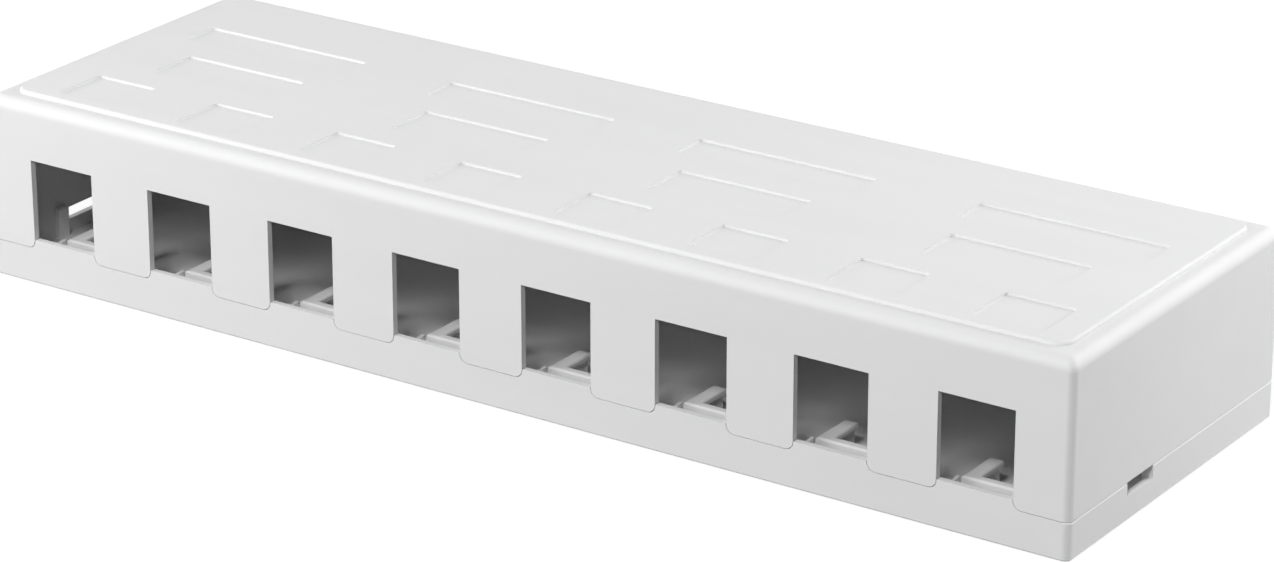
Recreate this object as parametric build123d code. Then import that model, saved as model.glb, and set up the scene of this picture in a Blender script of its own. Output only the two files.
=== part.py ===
from build123d import *
import os

os.makedirs("parts", exist_ok=True)

# Outer size of the closed box, in millimetres
box_length = 236.0
box_depth = 75.0
seam_height = 7.0
shoulder_height = 36.3
corner_radius = 1.4
shoulder_radius = 2.2

# Wall and floor thicknesses of the two mouldings
cover_wall = 1.3
cover_ceiling = 1.8
base_wall = 1.3
base_floor = 1.8
seam_chamfer = 0.2
fit_clearance = 0.12

# Row of ports in the front wall
port_count = 8
port_pitch = 28.5
window_width = 14.9
window_top = 25.0
tongue_radius = 1.6

# Raised field on top of the cover and its marking recesses
plateau_step = 0.8
plateau_inset = 3.9
plateau_radius = 3.0
plateau_edge = 0.55
recess_depth = 0.5
recess_radius = 0.6
small_recess = (13.8, 12.0)
small_recess_front = 6.8
small_recess_shift = 1.45
middle_recess = (28.0, 11.2)
middle_recess_front = 26.2
middle_recess_shift = 1.3
long_recess = (38.0, 8.2)
long_recess_front = 45.2
long_recess_shifts = (-0.9, 0.4, 0.3, 2.9)

# Catch frame for a jack behind each window
frame_inset = 1.25
frame_shifts = (0.5, 1.15, 0.05, 0.7)
frame_front = 7.3
frame_depth = 9.7
frame_arm = 2.8
frame_bar = 2.0
frame_top = 7.0
frame_lip = 0.8
frame_lip_height = 1.1
frame_round = 0.5
tooth_width = 0.7
tooth_front = 4.8
tooth_length = 2.6
tooth_rise = 0.25
tooth_gap = 0.25

# Notches in the rim for a screwdriver, one in each end wall
slot_front = 20.2
slot_length = 9.2
slot_depth = 2.5

# Posts that locate the cover on the base
post_reach = 1.1
post_width = 2.9
post_top = 8.05
post_lead = 0.25
post_gap = 0.6

# Stiffening ribs behind the tongues of the cover
rib_width = 1.2
rib_depth = 6.0
rib_bottom = 9.8

# Cable entries in the rear wall
entry_count = 4
entry_width = 16.0
entry_rise = 9.0
entry_drop = 2.6
entry_radius = 3.5

# Bridges for cable ties
bridge_length = 9.0
bridge_width = 5.0
bridge_height = 5.0
tunnel_length = 5.0
tunnel_height = 2.4
bridge_from_back = 13.0

# Holes for wall screws
screw_spacing_x = 171.0
screw_row_y = 17.5
screw_hole = 4.5
screw_head = 8.6
screw_sink = 1.8
boss_diameter = 11.5
boss_height = 1.4

# Values that follow from the sizes above
front_y = -box_depth / 2
back_y = box_depth / 2
top_height = shoulder_height + plateau_step
ceiling_height = shoulder_height - cover_ceiling
merlon_top = seam_height + tongue_radius + fit_clearance + 0.1
port_xs = [(i - (port_count - 1) / 2) * port_pitch for i in range(port_count)]
tongue_xs = [(a + b) / 2 for a, b in zip(port_xs, port_xs[1:])]
pair_xs = [(a + b) / 2 for a, b in zip(port_xs[0::2], port_xs[1::2])]
entry_xs = pair_xs[:entry_count]
screw_xs = (-screw_spacing_x / 2, screw_spacing_x / 2)


def frame_x(i):
    """Where frame i stands; the frames of the right half mirror those of the left."""
    mirror = port_count - 1 - i
    if i == mirror:
        return port_xs[i]
    shift = frame_shifts[min(i, mirror) % len(frame_shifts)]
    return port_xs[i] + (shift if i < mirror else -shift)


def block(x_low, x_high, y_low, y_high, z_low, z_high):
    """A box given by its two corners."""
    size = Box(x_high - x_low, y_high - y_low, z_high - z_low)
    return Pos((x_low + x_high) / 2, (y_low + y_high) / 2, (z_low + z_high) / 2) * size


def near(value, target, slack=0.01):
    return abs(value - target) < slack


def recess(width, depth, left, front):
    """A shallow pocket sunk in the raised field."""
    centre = (left + width / 2, front_y + front + depth / 2, top_height - recess_depth)
    return extrude(Pos(*centre) * RectangleRounded(width, depth, recess_radius), recess_depth + 1)


def cover_shell():
    """The hood: a filleted block, hollowed from below."""
    half_x = box_length / 2
    hood = block(-half_x, half_x, front_y, back_y, seam_height, shoulder_height)
    hood = fillet(hood.edges().filter_by(Axis.Z), corner_radius)
    hood = fillet(hood.faces().sort_by(Axis.Z)[-1].outer_wire().edges(), shoulder_radius)
    rim = hood.faces().sort_by(Axis.Z)[0].outer_wire().edges()
    hood = chamfer([e for e in rim if e.center().Y > front_y + 0.5], seam_chamfer)
    hollow = block(
        -half_x + cover_wall, half_x - cover_wall,
        front_y + cover_wall, back_y - cover_wall,
        seam_height - 1, ceiling_height,
    )
    hollow = fillet(hollow.edges().filter_by(Axis.Z), 0.5)
    hollow = fillet(hollow.faces().sort_by(Axis.Z)[-1].outer_wire().edges(), shoulder_radius - cover_wall)
    return hood - hollow


def cover_comb(hood):
    """Windows open downwards, which leaves a tongue between each two ports."""
    inner_y = front_y + cover_wall
    tongue_bottom = seam_height + fit_clearance
    half_x = box_length / 2
    end = half_x - corner_radius
    hood += block(-end, end, front_y, inner_y, seam_height, seam_height + 1)
    hood -= block(-end, end, front_y - 1, inner_y + 0.5, seam_height - 1, tongue_bottom)
    for x in port_xs:
        hood -= block(
            x - window_width / 2, x + window_width / 2,
            front_y - 1, inner_y + 0.5, seam_height - 1, window_top,
        )
    corners = [
        e for e in hood.edges().filter_by(Axis.Y)
        if near(e.center().Z, tongue_bottom)
        and near(e.center().Y, front_y + cover_wall / 2, 0.2)
        and any(near(abs(e.center().X - x), window_width / 2) for x in port_xs)
    ]
    return fillet(corners, tongue_radius)


def cover_top(hood):
    """The raised field with one small, one middle and one long recess per group."""
    field = RectangleRounded(
        box_length - 2 * plateau_inset, box_depth - 2 * plateau_inset, plateau_radius
    )
    raised = extrude(Pos(0, 0, shoulder_height - 0.5) * field, plateau_step + 0.5)
    raised = fillet(raised.faces().sort_by(Axis.Z)[-1].outer_wire().edges(), plateau_edge)
    hood += raised
    for x in port_xs:
        left = x - small_recess[0] / 2 + small_recess_shift
        hood -= recess(*small_recess, left, small_recess_front)
    for x in pair_xs:
        left = x - middle_recess[0] / 2 + middle_recess_shift
        hood -= recess(*middle_recess, left, middle_recess_front)
    for x, shift in zip(pair_xs, long_recess_shifts):
        left = x - long_recess[0] / 2 + shift
        hood -= recess(*long_recess, left, long_recess_front)
    return hood


def cover_inside(hood):
    """Ribs that stiffen the tongues, and the arches where cables enter."""
    for x in tongue_xs:
        hood += block(
            x - rib_width / 2, x + rib_width / 2,
            front_y + cover_wall - 0.3, front_y + cover_wall + rib_depth,
            rib_bottom, ceiling_height + 0.5,
        )
    for x in entry_xs:
        arch = Plane.XZ.offset(-back_y + cover_wall + 1) * Pos(x, seam_height) * RectangleRounded(
            entry_width, 2 * entry_rise, entry_radius
        )
        hood -= extrude(arch, -(cover_wall + 2))
    return hood


def base_tray():
    """The tray: floor and low wall, flush with the cover at the seam."""
    half_x = box_length / 2
    tray = block(-half_x, half_x, front_y, back_y, 0, seam_height)
    tray = fillet(tray.edges().filter_by(Axis.Z), corner_radius)
    rim = tray.faces().sort_by(Axis.Z)[-1].outer_wire().edges()
    tray = chamfer([e for e in rim if e.center().Y > front_y + 0.5], seam_chamfer)
    tray = chamfer(tray.faces().sort_by(Axis.Z)[0].outer_wire().edges(), seam_chamfer)
    end = half_x - corner_radius
    tray += block(-end, end, front_y, front_y + base_wall, seam_height - 1, seam_height)
    hollow = block(
        -half_x + base_wall, half_x - base_wall,
        front_y + base_wall, back_y - base_wall,
        base_floor, seam_height + 1,
    )
    hollow = fillet(hollow.edges().filter_by(Axis.Z), 0.5)
    return tray - hollow


def base_merlons(tray):
    """A raised block closes the foot of each window; its feet follow the tongues."""
    half = window_width / 2 - fit_clearance
    radius = tongue_radius + fit_clearance
    below = 1.0
    for x in port_xs:
        foot = Pos(x, seam_height + (radius - below) / 2) * Rectangle(2 * (half + radius), radius + below)
        for side in (-1, 1):
            foot -= Pos(x + side * (half + radius), seam_height + radius) * Circle(radius)
        tower = Pos(x, (seam_height - below + merlon_top) / 2) * Rectangle(
            2 * half, merlon_top - seam_height + below
        )
        tray += extrude(Plane.XZ.offset(-front_y) * (foot + tower), -base_wall)
    return tray


def catch_frame(x):
    """A low U of ribs with a lip along the inside, which the foot of a jack hooks under."""
    half = window_width / 2 - frame_inset
    front = front_y + frame_front
    back = front + frame_depth
    shape = block(x - half, x + half, front, back, base_floor - 0.3, frame_top)
    shape -= block(
        x - half + frame_arm, x + half - frame_arm,
        front + frame_bar, back + 1, base_floor - 1, frame_top + 1,
    )
    shape -= block(
        x - half + frame_arm - frame_lip, x + half - frame_arm + frame_lip,
        front + frame_bar - frame_lip, back + 1, base_floor, frame_top - frame_lip_height,
    )
    rails = [e for e in shape.edges() if near(e.center().Z, frame_top)]
    return fillet(rails, frame_round)


def catch_tooth(x):
    """A thin ramped tooth beside the frame."""
    low = frame_top - 0.4
    start = front_y + tooth_front
    side = Plane.YZ.offset(x) * Polygon(
        (start, base_floor - 0.3), (start + tooth_length, base_floor - 0.3),
        (start + tooth_length, low + tooth_rise), (start, low),
        align=None,
    )
    return extrude(side, tooth_width)


def frame_opening(x):
    half = window_width / 2 - frame_inset - frame_arm - 0.4
    front = front_y + frame_front + frame_bar + 0.4
    back = front_y + frame_front + frame_depth - 1.2
    return block(x - half, x + half, front, back, -1, base_floor + 1)


def wall_post():
    """A post against a wall whose outer face is y = 0; its upper part clears the cover."""
    half = post_width / 2
    back = cover_wall + post_reach
    low = block(-half, half, 0.5, back, base_floor - 0.3, seam_height - 0.3)
    high = block(-half, half, cover_wall + fit_clearance, back, base_floor - 0.3, post_top)
    return low + chamfer(high.faces().sort_by(Axis.Z)[-1].edges(), post_lead)


def tie_bridge(x, y):
    """A low bridge; a cable tie passes under it."""
    body = block(
        x - bridge_width / 2, x + bridge_width / 2,
        y - bridge_length / 2, y + bridge_length / 2,
        base_floor - 0.3, base_floor + bridge_height,
    )
    body = fillet(body.edges().filter_by(Axis.X).group_by(Axis.Z)[-1], 1.2)
    return body - block(
        x - bridge_width, x + bridge_width,
        y - tunnel_length / 2, y + tunnel_length / 2,
        base_floor, base_floor + tunnel_height,
    )


def build_cover():
    hood = cover_shell()
    hood = cover_comb(hood)
    hood = cover_top(hood)
    return cover_inside(hood)


def build_base():
    tray = base_merlons(base_tray())
    half_x = box_length / 2
    for x in (frame_x(i) for i in range(port_count)):
        tray += catch_frame(x)
        half = window_width / 2 - frame_inset
        tray += catch_tooth(x - half - tooth_gap - tooth_width)
        tray += catch_tooth(x + half + tooth_gap)
        tray -= frame_opening(x)
    post = wall_post()
    beside = post_width / 2 + post_gap
    for side in (-1, 1):
        for y in (slot_front - beside, slot_front + slot_length + beside):
            tray += Pos(side * half_x, front_y + y, 0) * Rot(0, 0, side * 90) * post
        tray -= Pos(side * half_x, front_y + slot_front + slot_length / 2, seam_height) * Box(
            2 * base_wall + 0.4, slot_length, 2 * slot_depth
        )
    for x in tongue_xs:
        tray += Pos(x, front_y, 0) * post
    for x in tongue_xs[1::2]:
        tray += Pos(x, back_y, 0) * Rot(0, 0, 180) * post
    for x in entry_xs:
        tray -= block(
            x - entry_width / 2, x + entry_width / 2, back_y - base_wall - 0.2, back_y + 1,
            seam_height - entry_drop, seam_height + 1,
        )
        tray += tie_bridge(x - entry_width / 4, back_y - bridge_from_back)
        tray += tie_bridge(x + entry_width / 4, back_y - bridge_from_back)
    top = base_floor + boss_height
    for x in screw_xs:
        boss = Cylinder(boss_diameter / 2, boss_height + 0.3)
        tray += Pos(x, screw_row_y, top - (boss_height + 0.3) / 2) * boss
        tray -= Pos(x, screw_row_y, top / 2) * Cylinder(screw_hole / 2, top + 2)
        sink = Cone(screw_hole / 2, screw_head / 2, screw_sink, align=(Align.CENTER, Align.CENTER, Align.MAX))
        tray -= Pos(x, screw_row_y, top) * sink
    return tray


base = build_base()
cover = build_cover()
export_step(base, "parts/base.step")
export_step(cover, "parts/cover.step")
for name, shape in (("base", base), ("cover", cover)):
    box = shape.bounding_box()
    print(name, len(shape.solids()), round(shape.volume, 1), box.min, box.max)
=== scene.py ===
import math
import bpy
import numpy as np
from mathutils import Matrix, Vector

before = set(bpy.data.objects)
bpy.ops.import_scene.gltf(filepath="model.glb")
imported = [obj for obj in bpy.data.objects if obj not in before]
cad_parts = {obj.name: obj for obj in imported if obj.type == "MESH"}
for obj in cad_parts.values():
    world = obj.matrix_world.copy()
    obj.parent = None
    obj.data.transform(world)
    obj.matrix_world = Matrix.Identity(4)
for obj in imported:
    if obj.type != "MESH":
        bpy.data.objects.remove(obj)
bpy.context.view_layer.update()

print("frame loaded:", ", ".join(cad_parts))


def addNode(tree, kind, where, **values):
    # a keyword sets the input socket of that name; an underscore stands for a space
    node = tree.nodes.new(kind)
    node.location = where
    for key, value in values.items():
        node.inputs[key.replace("_", " ")].default_value = value
    return node


def link(tree, source, target):
    tree.links.new(source, target)


def addMaths(tree, operation, where, first, second):
    # two inputs, each a socket or a plain number
    node = tree.nodes.new("ShaderNodeMath")
    node.operation = operation
    node.location = where
    for slot, value in enumerate((first, second)):
        if isinstance(value, (int, float)):
            node.inputs[slot].default_value = value
        else:
            link(tree, value, node.inputs[slot])
    return node.outputs[0]


# What a user may change on the hood. Lengths are metres, noise scales are cycles per metre.
coverLook = {
    "colour": (0.740, 0.740, 0.743),   # linear, a neutral white resin
    "shadeSpread": 0.014,              # how far the shade drifts from the colour
    "shadeShares": (-1.0, 0.6),        # darkest and lightest shade, in parts of that spread
    "shadeRamp": (0.38, 0.62),         # noise levels at which they are reached
    "cloudScale": 22.0,                # slow drift of the shade over the wall
    "flowScale": (18.0, 150.0, 150.0),  # streaks that the melt leaves along the row of ports
    "ior": 1.53,
    "roughness": 0.60,
    "roughnessSpread": 0.06,           # sheen of the skin, patch by patch
    "sheenRamp": (0.40, 0.85),         # noise levels of the smoothest and the roughest patch
    "patchScale": 75.0,
    "skinShare": 0.25,                 # how much the skin breaks the patches up
    "waveScale": 48.0,                 # sink and warp of a thin wall
    "waveHeight": 0.000035,
    "skinScale": 1700.0,               # spark-eroded skin of the tool, 0.6 mm clusters of finer grains
    "skinHeight": 0.000006,
    "specular": 0.24,
    "edgeRound": 0.00010,              # sharp edges catch light over this radius
    "edgeSamples": 3,
    "seed": 1.0,                       # moves the noises, so that no two mouldings are alike
}

# The tray came from another tool: a little smoother, with its own cloud pattern.
baseLook = dict(
    coverLook, cloudScale=26.0, flowScale=(15.0, 120.0, 120.0), roughness=0.58,
    waveHeight=0.00003, skinHeight=0.000005, seed=2.0,
)

seedStep = (0.37, 0.11, 0.23)   # metres that one whole seed moves the noises by


def mouldedPlastic(name, look):
    # matte moulded plastic: noises in Object coordinates drive its shade, sheen and two layers of bump
    mat = bpy.data.materials.new(name)
    mat.use_nodes = True
    tree = mat.node_tree
    tree.nodes.clear()
    out = addNode(tree, "ShaderNodeOutputMaterial", (1100, 0))
    shader = addNode(
        tree, "ShaderNodeBsdfPrincipled", (800, 0),
        Roughness=look["roughness"], IOR=look["ior"],
    )
    shader.inputs["Specular IOR Level"].default_value = look["specular"]
    link(tree, shader.outputs["BSDF"], out.inputs["Surface"])

    place = addNode(tree, "ShaderNodeTexCoord", (-1500, 0))
    apart = [look["seed"] * step for step in seedStep]
    shift = addNode(tree, "ShaderNodeMapping", (-1300, 0), Location=apart)
    link(tree, place.outputs["Object"], shift.inputs["Vector"])
    spot = shift.outputs["Vector"]
    stretch = addNode(tree, "ShaderNodeMapping", (-1100, 150), Scale=look["flowScale"])
    link(tree, spot, stretch.inputs["Vector"])

    def noise(source, scale, detail, rough, y):
        node = addNode(
            tree, "ShaderNodeTexNoise", (-850, y),
            Scale=scale, Detail=detail, Roughness=rough,
        )
        link(tree, source, node.inputs["Vector"])
        return node.outputs["Fac"]

    # where each noise is read, its scale, octaves of detail, their roughness, and its row of the nodes
    cloud = noise(spot, look["cloudScale"], 3.0, 0.5, 450)
    streak = noise(stretch.outputs["Vector"], 1.0, 4.0, 0.55, 220)
    patch = noise(spot, look["patchScale"], 4.0, 0.6, 0)
    wave = noise(spot, look["waveScale"], 1.0, 0.4, -220)
    skin = noise(spot, look["skinScale"], 3.0, 0.7, -440)

    # shade: the mean of cloud and streak, from a little under the colour to a little over it
    both = addMaths(tree, "ADD", (-620, 350), cloud, streak)
    mean = addMaths(tree, "MULTIPLY", (-450, 350), both, 0.5)
    shade = addNode(tree, "ShaderNodeValToRGB", (-280, 350))
    stops = zip(shade.color_ramp.elements, look["shadeRamp"], look["shadeShares"])
    for element, at, share in stops:
        element.position = at
        element.color = (*[c * (1 + share * look["shadeSpread"]) for c in look["colour"]], 1)
    link(tree, mean, shade.inputs["Fac"])
    link(tree, shade.outputs["Color"], shader.inputs["Base Color"])

    # sheen: patches about a centimetre wide, broken up by the skin
    fine = addMaths(tree, "MULTIPLY", (-620, -80), skin, look["skinShare"])
    broken = addMaths(tree, "ADD", (-450, 0), patch, fine)
    rough = addNode(tree, "ShaderNodeMapRange", (-280, 0))
    rough.inputs["From Min"].default_value = look["sheenRamp"][0]
    rough.inputs["From Max"].default_value = look["sheenRamp"][1]
    rough.inputs["To Min"].default_value = look["roughness"] - look["roughnessSpread"]
    rough.inputs["To Max"].default_value = look["roughness"] + look["roughnessSpread"]
    link(tree, broken, rough.inputs["Value"])
    link(tree, rough.outputs["Result"], shader.inputs["Roughness"])

    # bump: rounded edges first, then the wall's waves, and the skin on top of them
    edge = addNode(tree, "ShaderNodeBevel", (-280, -700), Radius=look["edgeRound"])
    edge.samples = look["edgeSamples"]
    normal = edge.outputs["Normal"]
    layers = ((wave, look["waveHeight"]), (skin, look["skinHeight"]))
    for step, (height, distance) in enumerate(layers):
        bump = addNode(
            tree, "ShaderNodeBump", (-60 + 220 * step, -500),
            Strength=1.0, Distance=distance,
        )
        link(tree, height, bump.inputs["Height"])
        link(tree, normal, bump.inputs["Normal"])
        normal = bump.outputs["Normal"]
    link(tree, normal, shader.inputs["Normal"])
    return mat


for nodeName, look in (("cover", coverLook), ("base", baseLook)):
    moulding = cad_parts[nodeName]
    moulding.data.materials.clear()
    moulding.data.materials.append(mouldedPlastic(nodeName + "Plastic", look))
print("moulded plastic on hood and tray")


floorLook = {
    "size": 4.0,
    "cells": 8,
    "colour": (0.25, 0.25, 0.25),      # what the light meets; the box gets little glow from below
    "seenColour": (1.0, 1.0, 1.0),
    "seenShare": (0.80, 1.0),          # glow for camera and reflections, near the box and far off
    "fade": (0.20, 0.60),              # from where to where the glow grows, so that no horizon shows
    "drop": 0.0002,                    # gap under the box
}


def seenRays(tree, where):
    # 1 for a ray that the camera, a mirror or glass sends, else 0
    path = addNode(tree, "ShaderNodeLightPath", where)
    camera, glossy = path.outputs["Is Camera Ray"], path.outputs["Is Glossy Ray"]
    first = addMaths(tree, "MAXIMUM", (where[0] + 180, where[1]), camera, glossy)
    through = path.outputs["Is Transmission Ray"]
    return addMaths(tree, "MAXIMUM", (where[0] + 360, where[1]), first, through)


def makeFloor():
    # a square grid of x and y, with z the same all over, just under the box
    count = floorLook["cells"] + 1
    steps = np.linspace(-floorLook["size"] / 2, floorLook["size"] / 2, count)
    gridX, gridY = np.meshgrid(steps, steps, indexing="ij")
    verts = np.stack([gridX, gridY, np.full_like(gridX, -floorLook["drop"])], -1).reshape(-1, 3)
    rows, columns = np.meshgrid(np.arange(count - 1), np.arange(count - 1), indexing="ij")
    corner = (rows * count + columns).ravel()
    faces = np.stack([corner, corner + count, corner + count + 1, corner + 1], -1)
    mesh = bpy.data.meshes.new("floor")
    mesh.from_pydata(verts.tolist(), [], faces.tolist())
    sheet = bpy.data.objects.new("floor", mesh)
    bpy.context.scene.collection.objects.link(sheet)

    mat = bpy.data.materials.new("paleFloor")
    mat.use_nodes = True
    tree = mat.node_tree
    tree.nodes.clear()
    out = addNode(tree, "ShaderNodeOutputMaterial", (700, 0))
    matte = addNode(tree, "ShaderNodeBsdfDiffuse", (0, 100), Color=(*floorLook["colour"], 1))
    glow = addNode(tree, "ShaderNodeEmission", (0, -80), Color=(*floorLook["seenColour"], 1))
    place = addNode(tree, "ShaderNodeTexCoord", (-700, -120))
    reach = tree.nodes.new("ShaderNodeVectorMath")
    reach.operation = "LENGTH"
    reach.location = (-500, -120)
    link(tree, place.outputs["Object"], reach.inputs[0])
    share = addNode(tree, "ShaderNodeMapRange", (-280, -120))
    share.interpolation_type = "SMOOTHSTEP"
    share.inputs["From Min"].default_value = floorLook["fade"][0]
    share.inputs["From Max"].default_value = floorLook["fade"][1]
    share.inputs["To Min"].default_value = floorLook["seenShare"][0]
    share.inputs["To Max"].default_value = floorLook["seenShare"][1]
    link(tree, reach.outputs["Value"], share.inputs["Value"])
    link(tree, share.outputs["Result"], glow.inputs["Strength"])
    both = addNode(tree, "ShaderNodeAddShader", (220, 0))
    link(tree, matte.outputs[0], both.inputs[0])
    link(tree, glow.outputs[0], both.inputs[1])
    mix = addNode(tree, "ShaderNodeMixShader", (450, 0))
    link(tree, seenRays(tree, (-400, 300)), mix.inputs["Fac"])
    link(tree, matte.outputs[0], mix.inputs[1])
    link(tree, both.outputs[0], mix.inputs[2])
    link(tree, mix.outputs[0], out.inputs["Surface"])
    mesh.materials.append(mat)


makeFloor()
print("floor laid")


# azimuth, elevation (degrees, azimuth 0 is in front of the ports), distance and size (m), watts
lampLook = {
    "key": (22, 44, 1.6, 0.3, 13.4),         # reaches through the windows onto the catch frames
    "frontLeft": (-15, 34, 1.0, 0.4, 3.7),
    "lowLeft": (-65, 18, 0.5, 0.3, 1.3),     # close, so that the front wall fades to the right
    "rearRight": (120, 15, 0.5, 0.3, 1.12),  # the end wall fades towards the near corner
    "rear": (150, 30, 0.6, 0.4, 1.85),       # top and back
}
aim = Vector((0, 0, 0.02))   # close to the middle of the box


def softBox(name):
    # a square area lamp on a sphere round the box, turned to its middle
    azimuth, elevation, distance, size, watts = lampLook[name]
    a, e = math.radians(azimuth), math.radians(elevation)
    way = Vector((math.sin(a) * math.cos(e), -math.cos(a) * math.cos(e), math.sin(e)))
    data = bpy.data.lights.new(name, "AREA")
    data.shape = "RECTANGLE"
    data.size = data.size_y = size
    data.energy = watts
    lamp = bpy.data.objects.new(name, data)
    bpy.context.scene.collection.objects.link(lamp)
    lamp.visible_camera = False
    lamp.location = aim + way * distance
    lamp.rotation_euler = (-way).to_track_quat("-Z", "Y").to_euler()


for lampName in lampLook:
    softBox(lampName)

worldLook = {
    "colour": (1.0, 1.0, 1.0),
    "strength": 0.0,                   # light on the object: the lamps give it all
    "seenStrength": 1.0,
}


def makeWorld():
    # a room that gives no light of its own, and that the camera and reflections see as pure white
    world = bpy.data.worlds.new("studio")
    bpy.context.scene.world = world
    world.use_nodes = True
    tree = world.node_tree
    tree.nodes.clear()
    out = addNode(tree, "ShaderNodeOutputWorld", (700, 0))
    dim = addNode(
        tree, "ShaderNodeBackground", (200, 100),
        Color=(*worldLook["colour"], 1), Strength=worldLook["strength"],
    )
    white = addNode(
        tree, "ShaderNodeBackground", (200, -80),
        Color=(*worldLook["colour"], 1), Strength=worldLook["seenStrength"],
    )
    mix = addNode(tree, "ShaderNodeMixShader", (450, 0))
    link(tree, seenRays(tree, (-400, 300)), mix.inputs["Fac"])
    link(tree, dim.outputs[0], mix.inputs[1])
    link(tree, white.outputs[0], mix.inputs[2])
    link(tree, mix.outputs[0], out.inputs["Surface"])


makeWorld()
print("lamps and room set")


# the photograph's viewing angle; place in metres, lens and sensor in millimetres
cameraLook = {
    "azimuth": 34.008,
    "elevation": 21.692,
    "place": (0.44571, -0.65132, 0.32582),
    "lens": 129.78,
    "sensor": 36.0,
    "clip": (0.01, 20.0),
}


def makeCamera():
    # looks along (-sin a cos e, cos a cos e, -sin e), with its up side in the vertical plane
    a, e = math.radians(cameraLook["azimuth"]), math.radians(cameraLook["elevation"])
    back = Vector((math.sin(a) * math.cos(e), -math.cos(a) * math.cos(e), math.sin(e)))
    right = Vector((math.cos(a), math.sin(a), 0))
    up = back.cross(right)
    data = bpy.data.cameras.new("camera")
    data.sensor_fit = "HORIZONTAL"
    data.sensor_width, data.lens = cameraLook["sensor"], cameraLook["lens"]
    data.clip_start, data.clip_end = cameraLook["clip"]
    camera = bpy.data.objects.new("camera", data)
    bpy.context.scene.collection.objects.link(camera)
    turn = Matrix((right, up, back)).transposed().to_4x4()
    camera.matrix_world = Matrix.Translation(cameraLook["place"]) @ turn
    bpy.context.scene.camera = camera


makeCamera()
bpy.context.scene.view_settings.view_transform = "Standard"
print("camera set")
